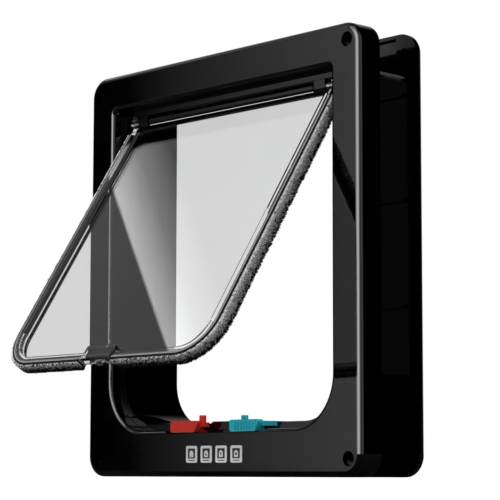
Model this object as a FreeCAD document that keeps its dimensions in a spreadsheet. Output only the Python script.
import FreeCAD, Part
import math
import os
import re
import Sketcher

# A cat flap for a door or a wall, with a lock that has two sliders.
# The front frame and the rear frame clamp the door between them. A sleeve lines the hole,
# and the rear frame's own sleeve telescopes over it. A clear flap with a brush on its edge hangs
# on a steel axle under the head of the tunnel, and a magnet holds it shut.
# Frame: X to the viewer's right, Y into the door, Z up. The origin is the centre of the four
# screw holes, on the plane where the front frame meets the door. All sizes are millimetres.

doc = FreeCAD.newDocument("cat_flap")
sheet = doc.addObject("Spreadsheet::Sheet", "Sizes")

# Driving sizes of the front frame
DRIVING = [
    ("plate_width", 237.5),
    ("plate_height", 250),
    ("plate_corner", 12.5),
    ("front_depth", 16.4),
    ("front_round", 3.2),
    ("face_wall", 3),
    ("skirt_wall", 2.4),
    ("bezel_wall", 2.4),
    ("side_border", 22.25),
    ("sill_height", 27.3),
    ("head_height", 22.1),
    ("high_corner", 3.2),
    ("low_corner", 30),
    ("opening_round", 2.2),
    ("screw_inset_side", 9.55),
    ("screw_inset_tall", 10),
    ("screw_hole", 4.6),
    ("screw_recess", 8.4),
    ("screw_recess_depth", 5),
    ("post_diameter", 12),
    ("rib_wall", 1.6),
    ("rib_setback", 2),
    ("rib_pitch_tall", 60),
    ("rib_pitch_wide", 76),
    ("bite", 0.5),
    ("cut_over", 1),
    # Driving sizes of the sleeve that lines the hole
    ("ledge_depth", 9),
    ("sleeve_play", 0.2),
    ("sleeve_side_wall", 2.9),
    ("sleeve_floor_wall", 3.8),
    ("sleeve_head_wall", 2.2),
    ("header_drop", 2.5),
    ("header_wall", 2),
    ("ear_length", 9),
    ("ear_width", 11),
    ("ear_wall", 2.8),
    ("ear_inset", 1.8),
    ("ear_screw_height", 67),
    ("ear_screw_reach", 4.5),
    ("ear_gate_play", 0.4),
    ("seat_width", 7),
    # Driving sizes of the rear frame
    ("door_gap", 29.6),
    ("rear_depth", 5),
    ("rear_wall", 2),
    ("rear_round", 2.4),
    ("telescope_play", 0.3),
    ("outer_sleeve_wall", 2),
    ("outer_sleeve_start", 3.6),
    ("rear_rib_setback", 0.5),
    ("pilot_hole", 3.6),
    ("pilot_floor", 1),
    # Driving sizes of the hinge
    ("pivot_setback", 4.6),
    ("pivot_drop", 8.7),
    ("axle_diameter", 3),
    ("axle_play", 0.05),
    ("tube_diameter", 8.4),
    ("tube_gap", 1.4),
    ("bearing_width", 8.6),
    ("bearing_gap", 0.7),
    ("bearing_depth", 9),
    ("bearing_foot", 4.6),
    ("bearing_round", 4),
    ("tenon_margin", 1.5),
    ("tenon_play", 0.15),
    # Driving sizes of the flap, measured from its axle
    ("open_angle", 32.6),
    ("flap_front", 1.8),
    ("flap_rear", 5.4),
    ("brush_play", 0.4),
    ("brush_floor_gap", 0.9),
    ("flap_top", 5.2),
    ("flap_corner", 21.5),
    ("rim_side", 4.4),
    ("rim_end", 3),
    ("pane_wall", 2.4),
    ("lug_gap", 3.1),
    ("lug_wall", 7),
    ("lug_diameter", 8.4),
    ("arm_rear", 3.8),
    ("arm_top", 1),
    ("groove_depth", 1.8),
    ("groove_front", 0.3),
    ("groove_rear", 3.3),
    ("backing_wall", 2.2),
    ("pile_side", 3.4),
    ("pile_end", 2),
    ("pile_front", 1.2),
    ("pile_rear", 6),
    ("strip_top", 9),
    ("strip_end_left", 17),
    ("strip_end_right", 13.1),
    ("housing_half_width", 12.8),
    ("housing_height", 7.3),
    ("housing_front", 2.3),
    ("housing_round", 1),
    ("magnet_half_width", 10.5),
    ("magnet_front", 1.1),
    ("magnet_rear", 3.7),
    ("magnet_pocket_height", 5.6),
    ("cap_wall", 1.4),
    ("catch_half_width", 3),
    ("catch_setback", 0.5),
    ("catch_drop", 2.6),
    ("catch_round", 1),
    # Driving sizes of the lock
    ("notch_half_width", 44),
    ("notch_drop", 1.8),
    ("notch_depth", 11),
    ("sill_wall", 5),
    ("sill_block_margin", 3),
    ("sill_block_wall", 2),
    ("sill_block_skin", 0.3),
    ("slider_inner", 13.6),
    ("slider_length", 25.2),
    ("slider_slant", 4),
    ("slider_proud", 0.3),
    ("slider_play", 0.4),
    ("slider_rise", 5.4),
    ("grip_wall", 4),
    ("grip_round", 1.5),
    ("block_wall", 3.5),
    ("block_rise", 4.5),
    ("tongue_length", 3.1),
    ("tongue_wall", 1.3),
    ("neck_length", 9.4),
    ("tab_width", 3.9),
    ("tab_wall", 2.2),
    ("tab_rise", 8.6),
    ("tab_round", 0.6),
    ("red_neck_reach", 1),
    ("red_tab_setback", 3),
    ("blue_tab_left", 3.4),
    ("blue_tab_setback", 18.2),
    ("blue_tab_wall", 2.2),
    ("blue_plate_inner", 21.5),
    ("grip_rib_wall", 0.7),
    ("grip_rib_pitch", 2.4),
    ("grip_rib_rise", 0.35),
    ("grip_rib_margin", 1.2),
    ("pocket_rear", 22.8),
    ("pocket_floor_wall", 1.4),
    ("pocket_left", 13.8),
    ("rail_groove", 1.2),
    ("rail_height", 1.2),
    ("rail_rise", 0.4),
    ("cover_half_width", 13.4),
    ("cover_rise", 1),
    ("cover_front", 9.3),
    ("cover_rear", 17.8),
    ("cover_slant", 1.6),
    ("sill_magnet_half_width", 10),
    ("sill_magnet_wall", 2.2),
    ("sill_magnet_front", 10.6),
    ("sill_magnet_rear", 16.6),
    # Driving sizes of the labels
    ("label_width", 9.8),
    ("label_height", 9.8),
    ("label_pitch", 13),
    ("label_level", 13.1),
    ("label_wall", 0.3),
    ("label_corner", 1.2),
    # Driving sizes of the screws in the ears
    ("ear_screw_shank", 2.6),
    ("ear_screw_head", 5),
    ("ear_screw_head_wall", 1.4),
    ("ear_screw_length", 9),
]

# Sizes that follow from the driving ones
FOLLOWING = [
    ("half_width", "plate_width / 2"),
    ("half_height", "plate_height / 2"),
    ("face", "-front_depth"),
    ("inside", "face + face_wall"),
    ("opening_half", "half_width - side_border"),
    ("sill", "sill_height - half_height"),
    ("head", "half_height - head_height"),
    ("hole_side", "half_width - screw_inset_side"),
    ("hole_level", "half_height - screw_inset_tall"),
    ("ledge", "face + ledge_depth"),
    ("sleeve_half", "opening_half - sleeve_play"),
    ("sleeve_low", "sill + sleeve_play"),
    ("sleeve_high", "head - sleeve_play"),
    ("tunnel_half", "sleeve_half - sleeve_side_wall"),
    ("tunnel_floor", "sleeve_low + sleeve_floor_wall"),
    ("tunnel_head", "sleeve_high - sleeve_head_wall"),
    ("tunnel_corner", "low_corner - sleeve_play - sleeve_side_wall"),
    ("rear_back", "door_gap + rear_depth"),
    ("rear_inside", "rear_back - rear_wall"),
    ("sleeve_end", "rear_inside - telescope_play"),
    ("outer_bore", "sleeve_half + telescope_play"),
    ("outer_low", "sleeve_low - telescope_play"),
    ("outer_high", "sleeve_high + telescope_play"),
    ("ear_back", "-ear_inset"),
    ("ear_seat", "ear_back - ear_wall"),
    ("ear_screw_side", "sleeve_half + ear_screw_reach"),
    ("ear_screw_level", "(head + sill) / 2"),
    ("ear_screw_top", "ear_back + ear_screw_head_wall"),
    ("pivot_y", "ledge + pivot_setback"),
    ("pivot_z", "head - pivot_drop"),
    ("lug_outer", "tunnel_half - lug_gap"),
    ("lug_inner", "lug_outer - lug_wall"),
    ("bearing_outer", "lug_inner - bearing_gap"),
    ("bearing_inner", "bearing_outer - bearing_width"),
    ("tube_half_length", "bearing_inner - tube_gap"),
    ("bearing_front", "pivot_y - bearing_depth / 2"),
    ("bearing_rear", "pivot_y + bearing_depth / 2"),
    ("header_back", "ledge + header_wall"),
    ("header_low", "tunnel_head - header_drop"),
    ("bearing_step", "header_back + sleeve_play"),
    ("flap_half_width", "tunnel_half - brush_play - pile_side - backing_wall"),
    ("flap_length", "pivot_z - tunnel_floor - brush_floor_gap - pile_end - backing_wall"),
    ("housing_top", "flap_length - housing_height"),
    ("magnet_top", "flap_length - magnet_pocket_height"),
    ("pane_front", "(flap_rear - flap_front - pane_wall) / 2"),
    ("backing_half", "flap_half_width + backing_wall"),
    ("backing_end", "flap_length + backing_wall"),
    ("backing_corner", "flap_corner + backing_wall"),
    ("pile_half", "backing_half + pile_side"),
    ("pile_length", "backing_end + pile_end"),
    ("pile_corner", "backing_corner + pile_end"),
    ("notch_floor", "sill - notch_drop"),
    ("slider_low", "notch_floor + slider_play"),
    ("slider_high", "sill + slider_rise"),
    ("slider_outer", "slider_inner + slider_length"),
    ("grip_front", "face - slider_proud"),
    ("grip_back", "grip_front + slider_proud + grip_wall"),
    ("block_back", "grip_back + block_wall"),
    ("plate_top", "sill + block_rise"),
    ("tongue_back", "block_back + tongue_length"),
    ("pocket_floor", "sleeve_low + pocket_floor_wall"),
    ("plate_low", "pocket_floor + sleeve_play"),
    ("pocket_back", "face + pocket_rear"),
    ("rail_low", "pocket_floor + rail_rise"),
    ("cover_top", "tunnel_floor + cover_rise"),
    ("label_z", "label_level - half_height"),
]


def fill_sheet():
    """Write every size into its own cell, with its name as the cell's alias."""
    row = 1
    for name, value in DRIVING:
        sheet.set(f"A{row}", name)
        sheet.set(f"B{row}", str(value))
        sheet.setAlias(f"B{row}", name)
        row += 1
    for name, formula in FOLLOWING:
        sheet.set(f"A{row}", name)
        sheet.set(f"B{row}", "=" + formula)
        sheet.setAlias(f"B{row}", name)
        row += 1
    doc.recompute()


NAMES = {name for name, _ in DRIVING + FOLLOWING}


def cell(formula):
    """Return the formula with each size's name pointing to its cell."""
    return re.sub(r"[a-z_]+", lambda word: "Sizes." + word.group() if word.group() in NAMES else word.group(),
                  str(formula))


def size(formula):
    """Return the number that a formula has now."""
    return float(sheet.evalExpression(cell(formula)))


# Sketch tools

NORMAL = {"XY_Plane": 1, "XZ_Plane": -1, "YZ_Plane": 1}


def hold(sketch, kind, target, formula):
    """Add one driving dimension to a sketch and bind it to its formula."""
    index = sketch.addConstraint(Sketcher.Constraint(kind, *target, size(formula)))
    name = f"size_{index}"
    sketch.renameConstraint(index, name)
    sketch.setExpression("Constraints." + name, cell(formula))


def draw_circle(sketch, x, y, diameter):
    """Draw one circle with its centre and diameter bound."""
    centre = FreeCAD.Vector(size(x), size(y), 0)
    circle = sketch.addGeometry(Part.Circle(centre, FreeCAD.Vector(0, 0, 1), size(diameter) / 2), False)
    hold(sketch, "DistanceX", (-1, 1, circle, 3), x)
    hold(sketch, "DistanceY", (-1, 1, circle, 3), y)
    hold(sketch, "Diameter", (circle,), diameter)


def draw_outline(sketch, corners):
    """Draw a closed outline through corners (x, y) or (x, y, radius), every one bound to its formula.

    A rounded corner is a quarter turn between an upright line and a level one.
    """
    count = len(corners)
    arrivals = []
    departures = []
    for i in range(count):
        x, y, *rounding = corners[i]
        if not rounding:
            arrivals.append((x, y))
            departures.append((x, y))
            continue
        for neighbour, ends in ((corners[i - 1], arrivals), (corners[(i + 1) % count], departures)):
            across = size(neighbour[0]) - size(x)
            along = size(neighbour[1]) - size(y)
            if abs(across) > abs(along):
                ends.append((f"{x} + {math.copysign(1, across):.0f} * ({rounding[0]})", y))
            else:
                ends.append((x, f"{y} + {math.copysign(1, along):.0f} * ({rounding[0]})"))
    spots = [[FreeCAD.Vector(size(x), size(y), 0) for x, y in ends] for ends in (arrivals, departures)]
    lines = [sketch.addGeometry(Part.LineSegment(spots[1][i], spots[0][(i + 1) % count]), False)
             for i in range(count)]
    for i in range(count):
        before = lines[i - 1]
        after = lines[i]
        hold(sketch, "DistanceX", (-1, 1, after, 1), departures[i][0])
        hold(sketch, "DistanceY", (-1, 1, after, 1), departures[i][1])
        if len(corners[i]) == 2:
            sketch.addConstraint(Sketcher.Constraint("Coincident", before, 2, after, 1))
            continue
        hold(sketch, "DistanceX", (-1, 1, before, 2), arrivals[i][0])
        hold(sketch, "DistanceY", (-1, 1, before, 2), arrivals[i][1])
        start = spots[0][i]
        end = spots[1][i]
        corner = FreeCAD.Vector(size(corners[i][0]), size(corners[i][1]), 0)
        centre = start + end - corner
        middle = centre + (corner - centre).normalize() * size(corners[i][2])
        left_turn = (middle - start).cross(end - middle).z > 0
        way = (start, middle, end) if left_turn else (end, middle, start)
        arc = sketch.addGeometry(Part.Arc(*way), False)
        sketch.addConstraint(Sketcher.Constraint("Coincident", before, 2, arc, 1 if left_turn else 2))
        sketch.addConstraint(Sketcher.Constraint("Coincident", after, 1, arc, 2 if left_turn else 1))
        hold(sketch, "Radius", (arc,), corners[i][2])


def rounded_box(half, low, high, low_radius, high_radius):
    """Return the corners of an upright outline that is symmetrical about the middle."""
    return [(f"-({half})", low, low_radius), (half, low, low_radius), (half, high, high_radius),
            (f"-({half})", high, high_radius)]


def plain_box(left, right, low, high):
    """Return the corners of a rectangle."""
    return [(left, low), (right, low), (right, high), (left, high)]


# Body tools


def new_body(label):
    """Start one moulded or turned piece."""
    body = doc.addObject("PartDesign::Body", label)
    body.Label = label
    return body


def draw(body, name, role, level, shapes):
    """Make a sketch on one of the body's planes, at a level along its axis, with outlines and circles."""
    plane = next(feature for feature in body.Origin.OriginFeatures if feature.Role == role)
    sketch = body.newObject("Sketcher::SketchObject", f"{body.Label}_{name}_sketch")
    sketch.AttachmentSupport = [(plane, "")]
    sketch.MapMode = "FlatFace"
    sketch.setExpression("AttachmentOffset.Base.z", cell(f"{NORMAL[role]} * ({level})"))
    for shape in shapes:
        if isinstance(shape, tuple):
            draw_circle(sketch, *shape)
        else:
            draw_outline(sketch, shape)
    return sketch


def prism(body, name, role, start, end, shapes, cut=False):
    """Pad or pocket the shapes from one level to another along the plane's axis."""
    sketch = draw(body, name, role, start, shapes)
    doc.recompute()
    before = body.Shape.Volume if body.Tip else 0
    feature = body.newObject("PartDesign::Pocket" if cut else "PartDesign::Pad", f"{body.Label}_{name}")
    feature.Profile = sketch
    feature.setExpression("Length", cell(f"abs(({end}) - ({start}))"))
    along_normal = (size(end) - size(start)) * NORMAL[role] > 0
    feature.Reversed = along_normal if cut else not along_normal
    sketch.Visibility = False
    doc.recompute()
    change = body.Shape.Volume - before
    if (change > -1e-6) if cut else (change < 1e-6):
        raise RuntimeError(f"{body.Label}: {name} changes the volume by {change:.3f}")
    return feature


def round_edges(body, name, radius, wanted):
    """Fillet the edges of the body's last feature that a test picks."""
    base = body.Tip
    chosen = [f"Edge{i + 1}" for i, edge in enumerate(base.Shape.Edges) if wanted(edge)]
    fillet = body.newObject("PartDesign::Fillet", f"{body.Label}_{name}")
    fillet.Base = (base, chosen)
    fillet.setExpression("Radius", cell(radius))
    doc.recompute()
    return fillet


def lies_at(edge, axis, level):
    """Tell whether a whole edge lies in the plane at a level along an axis."""
    box = edge.BoundBox
    ends = {"X": (box.XMin, box.XMax), "Y": (box.YMin, box.YMax), "Z": (box.ZMin, box.ZMax)}[axis]
    return abs(ends[0] - level) < 1e-4 and abs(ends[1] - level) < 1e-4


def corners_of(side, level):
    """Return the four mirrored positions of a point."""
    return [(f"{sx} * ({side})", f"{sz} * ({level})") for sx in (-1, 1) for sz in (-1, 1)]


def turn_with_flap(piece):
    """Place a piece that is drawn around the axle on the axle, swung open as the flap is."""
    piece.setExpression("Placement.Base.y", cell("pivot_y"))
    piece.setExpression("Placement.Base.z", cell("pivot_z"))
    piece.Placement = FreeCAD.Placement(FreeCAD.Vector(0, size("pivot_y"), size("pivot_z")),
                                        FreeCAD.Rotation(FreeCAD.Vector(1, 0, 0), -size("open_angle")))
    piece.setExpression("Placement.Rotation.Angle", cell("-open_angle * 1 deg"))


# The pieces


def front_frame():
    """The moulded front frame: a deep hollow ring with posts for the four screws and stiffening ribs."""
    body = new_body("front_frame")
    prism(body, "plate", "XZ_Plane", "0", "face",
          [rounded_box("half_width", "-half_height", "half_height", "plate_corner", "plate_corner")])
    round_edges(body, "outer_round", "front_round", lambda edge: lies_at(edge, "Y", size("face")))
    prism(body, "hollow", "XZ_Plane", "0", "inside",
          [rounded_box("half_width - skirt_wall", "skirt_wall - half_height", "half_height - skirt_wall",
                       "plate_corner - skirt_wall", "plate_corner - skirt_wall"),
           rounded_box("opening_half + bezel_wall", "sill - bezel_wall", "head + bezel_wall",
                       "low_corner + bezel_wall", "high_corner + bezel_wall")], cut=True)
    prism(body, "opening", "XZ_Plane", "0", "face",
          [rounded_box("opening_half", "sill", "head", "low_corner", "high_corner")], cut=True)
    limit = size("opening_half + cut_over")

    def on_opening(edge):
        sides = max(abs(edge.BoundBox.XMin), abs(edge.BoundBox.XMax))
        return lies_at(edge, "Y", size("face")) and sides < limit

    round_edges(body, "opening_round", "opening_round", on_opening)
    holes = corners_of("hole_side", "hole_level")
    prism(body, "posts", "XZ_Plane", "inside", "0",
          [corner_pad(sx, sz) for sx in (-1, 1) for sz in (-1, 1)])
    prism(body, "screw_recesses", "XZ_Plane", "face", "face + screw_recess_depth",
          [(x, z, "screw_recess") for x, z in holes], cut=True)
    prism(body, "screw_holes", "XZ_Plane", "0", "face",
          [(x, z, "screw_hole") for x, z in holes], cut=True)
    prism(body, "ribs", "XZ_Plane", "inside", "-rib_setback", frame_ribs("opening_half + bezel_wall"))
    seats = ear_screw_places()
    prism(body, "ear_seats", "XZ_Plane", "inside", "ear_seat",
          [plain_box(f"{x} - seat_width / 2", f"{x} + seat_width / 2", f"{z} - seat_width / 2",
                     f"{z} + seat_width / 2") for x, z in seats])
    prism(body, "ear_gates", "XZ_Plane", "0", "ear_seat",
          [ear_box(side, up, "sleeve_half - bite", "sleeve_half + ear_length + ear_gate_play", "sleeve_play")
           for side in (-1, 1) for up in (-1, 1)], cut=True)
    prism(body, "ear_pilots", "XZ_Plane", "ear_seat", "ear_screw_top - ear_screw_length",
          [(x, z, "ear_screw_shank") for x, z in seats], cut=True)
    prism(body, "sill_block", "XZ_Plane", "inside", "face + notch_depth + sill_block_wall",
          [plain_box("-notch_half_width - sill_block_margin", "notch_half_width + sill_block_margin",
                     "sill - sill_wall", "sill - sill_block_skin")])
    prism(body, "slider_notch", "XZ_Plane", "face", "face + notch_depth",
          [plain_box("-notch_half_width", "notch_half_width", "notch_floor", "sill + cut_over")], cut=True)
    return body


def ear_screw_places():
    """Return the middles of the four screws that hold the sleeve's ears."""
    return [(f"{side} * ear_screw_side", f"ear_screw_level + {up} * ear_screw_height")
            for side in (-1, 1) for up in (-1, 1)]


def ear_box(side, up, start, end, play):
    """Return the outline of one ear, or of the gap that it sits in, between two distances from the middle."""
    middle = f"ear_screw_level + {up} * ear_screw_height"
    return plain_box(f"{side} * ({start})", f"{side} * ({end})", f"{middle} - ear_width / 2 - {play}",
                     f"{middle} + ear_width / 2 + {play}")


def corner_pad(side, level):
    """Return the outline of one screw post, which fills the frame's corner down to the skirt."""
    reach = "post_diameter / 2"
    x = f"{side} * hole_side"
    z = f"{level} * hole_level"
    inner_x = f"{x} - {side} * ({reach})"
    inner_z = f"{z} - {level} * ({reach})"
    outer_x = f"{side} * (half_width - skirt_wall / 2)"
    outer_z = f"{level} * (half_height - skirt_wall / 2)"
    corner = "plate_corner - skirt_wall / 2"
    return [(inner_x, inner_z), (outer_x, inner_z), (outer_x, outer_z, corner), (inner_x, outer_z)]


def frame_ribs(bezel):
    """Return the outlines of the ribs that join the bezel to the skirt, all round a frame."""
    ribs = []
    for side in (-1, 1):
        for step in (-1.5, -0.5, 0.5, 1.5):
            middle = f"{step} * rib_pitch_tall"
            ribs.append(plain_box(f"{side} * ({bezel} - bite)", f"{side} * (half_width - skirt_wall / 2)",
                                  f"{middle} - rib_wall / 2", f"{middle} + rib_wall / 2"))
    for step in (-1, 0, 1):
        middle = f"{step} * rib_pitch_wide"
        left = f"{middle} - rib_wall / 2"
        right = f"{middle} + rib_wall / 2"
        ribs.append(plain_box(left, right, "head + bezel_wall - bite", "half_height - skirt_wall / 2"))
        ribs.append(plain_box(left, right, "skirt_wall / 2 - half_height", "sill - bezel_wall + bite"))
    return ribs


def tunnel_sleeve():
    """The sleeve that lines the hole. Its ears are screwed to seats inside the front frame."""
    body = new_body("tunnel_sleeve")
    prism(body, "walls", "XZ_Plane", "ledge", "sleeve_end",
          [rounded_box("sleeve_half", "sleeve_low", "sleeve_high", "low_corner - sleeve_play",
                       "high_corner - sleeve_play"),
           rounded_box("tunnel_half", "tunnel_floor", "tunnel_head", "tunnel_corner", "high_corner / 2")])
    prism(body, "header", "XZ_Plane", "ledge", "header_back",
          [plain_box("-tunnel_half - bite", "tunnel_half + bite", "header_low", "tunnel_head + bite")])
    prism(body, "ears", "XZ_Plane", "ear_seat", "ear_back",
          [ear_box(side, up, "sleeve_half - bite", "sleeve_half + ear_length", "0")
           for side in (-1, 1) for up in (-1, 1)])
    prism(body, "ear_holes", "XZ_Plane", "ear_back", "ear_seat",
          [(x, z, "ear_screw_shank + sleeve_play") for x, z in ear_screw_places()], cut=True)
    prism(body, "slider_pocket", "XZ_Plane", "ledge", "pocket_back",
          [plain_box("-pocket_left", "notch_half_width", "pocket_floor", "tunnel_floor + cut_over")], cut=True)
    prism(body, "rail_groove", "XZ_Plane", "pocket_back", "pocket_back + rail_groove",
          [plain_box("0", "notch_half_width", "rail_low", "rail_low + rail_height")], cut=True)
    prism(body, "bearing_slots", "XY_Plane", "sleeve_high", "tunnel_head",
          [tenon_outline(side, "tenon_margin - tenon_play") for side in (-1, 1)], cut=True)
    return body


def tenon_outline(side, margin):
    """Return the outline of the tenon on one hinge bearing, or of its slot, seen from above."""
    return plain_box(f"{side} * (bearing_inner + {margin})", f"{side} * (bearing_outer - ({margin}))",
                     f"bearing_step + {margin}", f"bearing_rear - ({margin})")


def rear_frame():
    """The shallow rear frame with its own sleeve, which telescopes over the first one."""
    body = new_body("rear_frame")
    prism(body, "plate", "XZ_Plane", "door_gap", "rear_back",
          [rounded_box("half_width", "-half_height", "half_height", "plate_corner", "plate_corner")])
    round_edges(body, "outer_round", "rear_round", lambda edge: lies_at(edge, "Y", size("rear_back")))
    prism(body, "hollow", "XZ_Plane", "door_gap", "rear_inside",
          [rounded_box("half_width - rear_wall", "rear_wall - half_height", "half_height - rear_wall",
                       "plate_corner - rear_wall", "plate_corner - rear_wall")], cut=True)
    prism(body, "sleeve", "XZ_Plane", "rear_inside", "outer_sleeve_start",
          [rounded_box("outer_bore + outer_sleeve_wall", "outer_low - outer_sleeve_wall",
                       "outer_high + outer_sleeve_wall", "low_corner + outer_sleeve_wall",
                       "high_corner + outer_sleeve_wall"),
           rounded_box("outer_bore", "outer_low", "outer_high", "low_corner", "high_corner")])
    prism(body, "opening", "XZ_Plane", "door_gap", "rear_back",
          [rounded_box("tunnel_half", "tunnel_floor", "tunnel_head", "tunnel_corner", "high_corner / 2")],
          cut=True)
    prism(body, "posts", "XZ_Plane", "rear_inside", "door_gap",
          [corner_pad(sx, sz) for sx in (-1, 1) for sz in (-1, 1)])
    prism(body, "pilots", "XZ_Plane", "door_gap", "rear_back - pilot_floor",
          [(x, z, "pilot_hole") for x, z in corners_of("hole_side", "hole_level")], cut=True)
    prism(body, "ribs", "XZ_Plane", "rear_inside", "door_gap + rear_rib_setback",
          frame_ribs("outer_bore + outer_sleeve_wall"))
    return body


def hinge_bearing(label, side):
    """One bracket under the head of the tunnel, in which the axle turns.

    It is stepped to clear the header, and its tenon is held in a slot of the sleeve.
    """
    body = new_body(label)
    foot = "pivot_z - bearing_foot"
    shoulder = "header_low - sleeve_play"
    prism(body, "bracket", "YZ_Plane", f"{side} * bearing_inner", f"{side} * bearing_outer",
          [[("bearing_front", foot, "bearing_round"), ("bearing_rear", foot, "bearing_round"),
            ("bearing_rear", "tunnel_head"), ("bearing_step", "tunnel_head"), ("bearing_step", shoulder),
            ("bearing_front", shoulder)],
           ("pivot_y", "pivot_z", "axle_diameter + 2 * axle_play")])
    prism(body, "tenon", "XY_Plane", "tunnel_head", "sleeve_high", [tenon_outline(side, "tenon_margin")])
    return body


def cylinder(name, diameter, length, x="0", y="0", z="0", axis=(0, 0, 1)):
    """Make a plain cylinder with its sizes and place bound, along an axis from its foot."""
    item = doc.addObject("Part::Cylinder", name)
    item.setExpression("Radius", cell(f"({diameter}) / 2"))
    item.setExpression("Height", cell(length))
    item.Placement = FreeCAD.Placement(FreeCAD.Vector(size(x), size(y), size(z)),
                                       FreeCAD.Rotation(FreeCAD.Vector(0, 0, 1), FreeCAD.Vector(*axis)))
    item.setExpression("Placement.Base.x", cell(x))
    item.setExpression("Placement.Base.y", cell(y))
    item.setExpression("Placement.Base.z", cell(z))
    return item


def hinge_axle():
    """The steel rod that the flap turns with."""
    rod = cylinder("hinge_axle", "axle_diameter", "2 * lug_outer", "-lug_outer", "pivot_y",
                   "pivot_z", (1, 0, 0))
    rod.Label = "hinge_axle"
    return rod


def hinge_tube():
    """The glossy tube over the axle, between the two bearings."""
    place = ("-tube_half_length", "pivot_y", "pivot_z", (1, 0, 0))
    outside = cylinder("tube_outside", "tube_diameter", "2 * tube_half_length", *place)
    bore = cylinder("tube_bore", "axle_diameter", "2 * tube_half_length", *place)
    tube = doc.addObject("Part::Cut", "hinge_tube")
    tube.Base = outside
    tube.Tool = bore
    tube.Label = "hinge_tube"
    return tube


def flap_outline(half, top, length, corner):
    """Return the outline of the flap or a line inside it: square above, round below."""
    return [(f"-({half})", f"-({top})"), (f"-({half})", f"-({length})", corner),
            (half, f"-({length})", corner), (half, f"-({top})")]


def strip_outline(side, outer, inner, end):
    """Return one half of a band round the flap's edge. outer and inner are (half width, length, corner)."""
    def at(formula):
        return f"{side} * ({formula})"
    return [(at(outer[0]), "-strip_top"), (at(outer[0]), f"-({outer[1]})", outer[2]),
            (at(end), f"-({outer[1]})"), (at(end), f"-({inner[1]})"),
            (at(inner[0]), f"-({inner[1]})", inner[2]), (at(inner[0]), "-strip_top")]


RIM = ("flap_half_width", "flap_length", "flap_corner")
GROOVE = ("flap_half_width - groove_depth", "flap_length - groove_depth", "flap_corner - groove_depth")
BACKING = ("backing_half", "backing_end", "backing_corner")
PILE = ("pile_half", "pile_length", "pile_corner")
STRIPS = (("left", -1, "strip_end_left"), ("right", 1, "strip_end_right"))


def flap_panel():
    """The clear flap: a thin pane with a thick rim on three sides, two lugs and a magnet housing."""
    body = new_body("flap_panel")
    window = [flap_outline("flap_half_width - rim_side", "flap_top - cut_over", "flap_length - rim_end",
                           "flap_corner - rim_side")]
    prism(body, "slab", "XZ_Plane", "-flap_front", "flap_rear",
          [flap_outline("flap_half_width", "flap_top", "flap_length", "flap_corner")])
    prism(body, "front_window", "XZ_Plane", "-flap_front", "pane_front", window, cut=True)
    prism(body, "rear_window", "XZ_Plane", "flap_rear", "pane_front + pane_wall", window, cut=True)
    for name, side in (("left", -1), ("right", 1)):
        prism(body, name + "_lug", "YZ_Plane", f"{side} * lug_inner", f"{side} * lug_outer",
              [("0", "0", "lug_diameter")])
        prism(body, name + "_arm", "YZ_Plane", f"{side} * lug_inner", f"{side} * flap_half_width",
              [plain_box("-flap_front", "arm_rear", "-flap_top - rim_end", "-arm_top")])
    prism(body, "axle_bore", "YZ_Plane", "-lug_outer", "lug_outer", [("0", "0", "axle_diameter")], cut=True)
    prism(body, "magnet_housing", "XZ_Plane", "-housing_front", "flap_rear",
          [[("-housing_half_width", "-housing_top", "housing_round"), ("-housing_half_width", "-flap_length"),
            ("housing_half_width", "-flap_length"), ("housing_half_width", "-housing_top", "housing_round")]])
    prism(body, "magnet_pocket", "XY_Plane", "-flap_length", "-magnet_top",
          [plain_box("-magnet_half_width", "magnet_half_width", "-magnet_front", "magnet_rear")], cut=True)
    for name, side, end in STRIPS:
        outside = ("flap_half_width + cut_over", "flap_length + cut_over", "flap_corner + cut_over")
        prism(body, name + "_groove", "XZ_Plane", "groove_front", "groove_rear",
              [strip_outline(side, outside, GROOVE, end)], cut=True)
    turn_with_flap(body)
    return body


def brush_backing(name, side, end):
    """The black strip that carries the pile. Its rib sits in the groove of the flap's rim."""
    body = new_body(f"brush_backing_{name}")
    prism(body, "band", "XZ_Plane", "-flap_front", "flap_rear", [strip_outline(side, BACKING, RIM, end)])
    root = ("flap_half_width + bite", "flap_length + bite", "flap_corner + bite")
    prism(body, "rib", "XZ_Plane", "groove_front", "groove_rear", [strip_outline(side, root, GROOVE, end)])
    turn_with_flap(body)
    return body


def brush_pile(name, side, end):
    """The dense pile that closes the gap between the flap and the tunnel."""
    body = new_body(f"brush_{name}")
    prism(body, "pile", "XZ_Plane", "-pile_front", "pile_rear", [strip_outline(side, PILE, BACKING, end)])
    turn_with_flap(body)
    return body


def box(name, left, right, front, rear, low, high):
    """Make a plain block between six levels, all bound."""
    item = doc.addObject("Part::Box", name)
    item.setExpression("Length", cell(f"({right}) - ({left})"))
    item.setExpression("Width", cell(f"({rear}) - ({front})"))
    item.setExpression("Height", cell(f"({high}) - ({low})"))
    item.setExpression("Placement.Base.x", cell(left))
    item.setExpression("Placement.Base.y", cell(front))
    item.setExpression("Placement.Base.z", cell(low))
    return item


def flap_magnet():
    """The bar magnet inside the flap's housing."""
    body = new_body("flap_magnet")
    prism(body, "bar", "XZ_Plane", "-magnet_front", "magnet_rear",
          [plain_box("-magnet_half_width", "magnet_half_width", "cap_wall - flap_length", "-magnet_top")])
    turn_with_flap(body)
    return body


def magnet_cap():
    """The clear plug under the flap's magnet, with the catch that the lock's tabs stop."""
    body = new_body("magnet_cap")
    prism(body, "plug", "XZ_Plane", "-magnet_front", "magnet_rear",
          [plain_box("-magnet_half_width", "magnet_half_width", "-flap_length", "cap_wall - flap_length")])
    low = "-flap_length - catch_drop"
    high = "-flap_length + bite"
    prism(body, "catch", "XZ_Plane", "catch_setback", "magnet_rear",
          [[("-catch_half_width", low, "catch_round"), ("catch_half_width", low, "catch_round"),
            ("catch_half_width", high), ("-catch_half_width", high)]])
    turn_with_flap(body)
    return body


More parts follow.
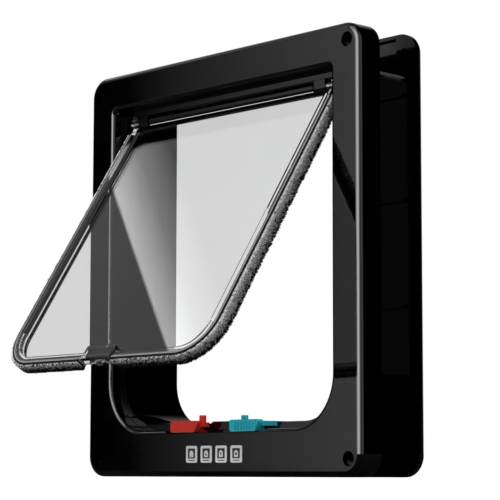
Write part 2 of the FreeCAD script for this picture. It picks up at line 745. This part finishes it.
def grip(body, left, right):
    """The slanted finger grip of a slider."""
    prism(body, "grip", "XZ_Plane", "grip_front", "grip_back",
          [[(left, "slider_low"), (f"{right} - slider_slant", "slider_low"),
            (right, "slider_high"), (left, "slider_high")]])
    round_edges(body, "grip_round", "grip_round",
                lambda edge: edge.BoundBox.YLength > size("grip_wall") and edge.BoundBox.XLength < 1e-4)


def grip_ribs(body, left):
    """The upright ribs on the front of a slider's grip."""
    first = f"{left} + 2 * grip_rib_pitch"
    count = int((size("slider_length") - size("slider_slant") - 2 * size("grip_rib_pitch"))
                / size("grip_rib_pitch"))
    ribs = [plain_box(f"{first} + {i} * grip_rib_pitch - grip_rib_wall / 2",
                      f"{first} + {i} * grip_rib_pitch + grip_rib_wall / 2", "slider_low + grip_rib_margin",
                      "slider_high - grip_rib_margin") for i in range(count)]
    prism(body, "grip_ribs", "XZ_Plane", "grip_front", "grip_front - grip_rib_rise", ribs)


def slider_block(body, left, right):
    """The block behind a slider's grip, and the thin tongue that keeps it under the sleeve."""
    prism(body, "block", "XZ_Plane", "grip_back - bite", "block_back",
          [plain_box(left, f"{right} - slider_slant", "slider_low", "plate_top")])
    prism(body, "tongue", "XZ_Plane", "block_back - bite", "tongue_back",
          [plain_box(left, f"{right} - slider_slant", "slider_low", "slider_low + tongue_wall")])


def tab_outline(left, right):
    """Return the outline of a slider's upright tab."""
    return [(left, "plate_top - bite"), (right, "plate_top - bite"), (right, "sill + tab_rise", "tab_round"),
            (left, "sill + tab_rise", "tab_round")]


def red_slider():
    """The left slider. Its tab stops the catch from the front, so the flap can't swing out."""
    body = new_body("lock_slider_red")
    left = "-slider_outer"
    right = "-slider_inner"
    grip(body, left, right)
    slider_block(body, left, right)
    reach = f"{right} + red_neck_reach"
    prism(body, "neck", "XZ_Plane", "face + red_tab_setback", "block_back",
          [plain_box(f"{reach} - neck_length", reach, "plate_low", "plate_top")])
    prism(body, "tab", "XZ_Plane", "face + red_tab_setback", "face + red_tab_setback + tab_wall",
          [tab_outline(f"{reach} - tab_width", reach)])
    return body


def blue_slider():
    """The right slider. Its arm reaches behind the catch, so the flap can't swing in."""
    body = new_body("lock_slider_blue")
    left = "slider_inner"
    right = "slider_outer"
    grip(body, left, right)
    grip_ribs(body, left)
    slider_block(body, left, right)
    arm_front = "face + blue_tab_setback"
    arm_back = "pocket_back - sleeve_play"
    prism(body, "plate", "XZ_Plane", "grip_back - bite", arm_back,
          [plain_box("blue_plate_inner", right, "plate_low", "plate_top")])
    prism(body, "arm", "XZ_Plane", arm_front, arm_front + " + blue_tab_wall",
          [plain_box("blue_tab_left", "blue_plate_inner + bite", "plate_low", "plate_top")])
    prism(body, "tab", "XZ_Plane", arm_front, arm_front + " + blue_tab_wall",
          [tab_outline("blue_tab_left", "blue_tab_left + tab_width")])
    prism(body, "rail", "XZ_Plane", arm_back + " - bite", "pocket_back + rail_groove - sleeve_play",
          [plain_box("blue_plate_inner", right, "rail_low + sleeve_play / 2",
                     "rail_low + rail_height - sleeve_play / 2")])
    return body


def sill_magnet():
    """The bar magnet under the cover in the tunnel's floor."""
    bar = box("sill_magnet", "-sill_magnet_half_width", "sill_magnet_half_width", "face + sill_magnet_front",
              "face + sill_magnet_rear", "pocket_floor", "pocket_floor + sill_magnet_wall")
    bar.Label = "sill_magnet"
    return bar


def sill_magnet_cover():
    """The cover over the sill's magnet, with slanted ends."""
    body = new_body("sill_magnet_cover")
    prism(body, "shell", "XZ_Plane", "face + cover_front", "face + cover_rear",
          [[("-cover_half_width", "pocket_floor"), ("cover_half_width", "pocket_floor"),
            ("cover_half_width", "cover_top - cover_slant"), ("cover_half_width - cover_slant", "cover_top"),
            ("cover_slant - cover_half_width", "cover_top"), ("-cover_half_width", "cover_top - cover_slant")]])
    prism(body, "nest", "XY_Plane", "pocket_floor", "pocket_floor + sill_magnet_wall",
          [plain_box("-sill_magnet_half_width", "sill_magnet_half_width", "face + sill_magnet_front",
                     "face + sill_magnet_rear")], cut=True)
    return body


def lock_label(number):
    """One of the four thin labels under the lock."""
    body = new_body(f"lock_label_{number}")
    middle = f"{number - 2.5} * label_pitch"
    left = f"{middle} - label_width / 2"
    right = f"{middle} + label_width / 2"
    low = "label_z - label_height / 2"
    high = "label_z + label_height / 2"
    prism(body, "tag", "XZ_Plane", "face", "face - label_wall",
          [[(left, low, "label_corner"), (right, low, "label_corner"), (right, high, "label_corner"),
            (left, high, "label_corner")]])
    return body


def sleeve_screws():
    """The four pan head screws that hold the sleeve's ears to the front frame."""
    screws = []
    for number, (x, z) in enumerate(ear_screw_places(), 1):
        place = (x, "ear_screw_top", z, (0, -1, 0))
        shaft = cylinder(f"sleeve_screw_{number}_shaft", "ear_screw_shank", "ear_screw_length", *place)
        head = cylinder(f"sleeve_screw_{number}_head", "ear_screw_head", "ear_screw_head_wall", *place)
        screw = doc.addObject("Part::Fuse", f"sleeve_screw_{number}")
        screw.Base = shaft
        screw.Tool = head
        screws.append(screw)
    group = doc.addObject("Part::Compound", "sleeve_screws")
    group.Links = screws
    group.Label = "sleeve_screws"
    return group


def build():
    """Build every piece and return them all."""
    pieces = [front_frame(), tunnel_sleeve(), rear_frame()]
    pieces += [hinge_bearing("hinge_bearing_left", -1), hinge_bearing("hinge_bearing_right", 1)]
    pieces += [sleeve_screws(), hinge_axle(), hinge_tube(), flap_panel()]
    for name, side, end in STRIPS:
        pieces += [brush_backing(name, side, end), brush_pile(name, side, end)]
    pieces += [flap_magnet(), magnet_cap(), red_slider(), blue_slider(), sill_magnet(), sill_magnet_cover()]
    pieces += [lock_label(number) for number in (1, 2, 3, 4)]
    return pieces


def check(pieces):
    """Stop if anything in the document failed or if a piece is not one sound shape."""
    for item in doc.Objects:
        if "Invalid" in item.State or "Error" in item.State:
            raise RuntimeError(f"{item.Label} is {item.State}")
    for piece in pieces:
        if piece.Shape.isNull() or not piece.Shape.isValid():
            raise RuntimeError(f"{piece.Label} has no sound shape")


fill_sheet()
pieces = build()
doc.recompute()
check(pieces)
os.makedirs("parts", exist_ok=True)
for piece in pieces:
    piece.Shape.exportStep(f"parts/{piece.Label}.step")
    bounds = piece.Shape.BoundBox
    print(f"{piece.Label}: {len(piece.Shape.Solids)} solid, {piece.Shape.Volume / 1000:.2f} cm3,"
          f" x {bounds.XMin:.1f} {bounds.XMax:.1f}, y {bounds.YMin:.1f} {bounds.YMax:.1f},"
          f" z {bounds.ZMin:.1f} {bounds.ZMax:.1f}")
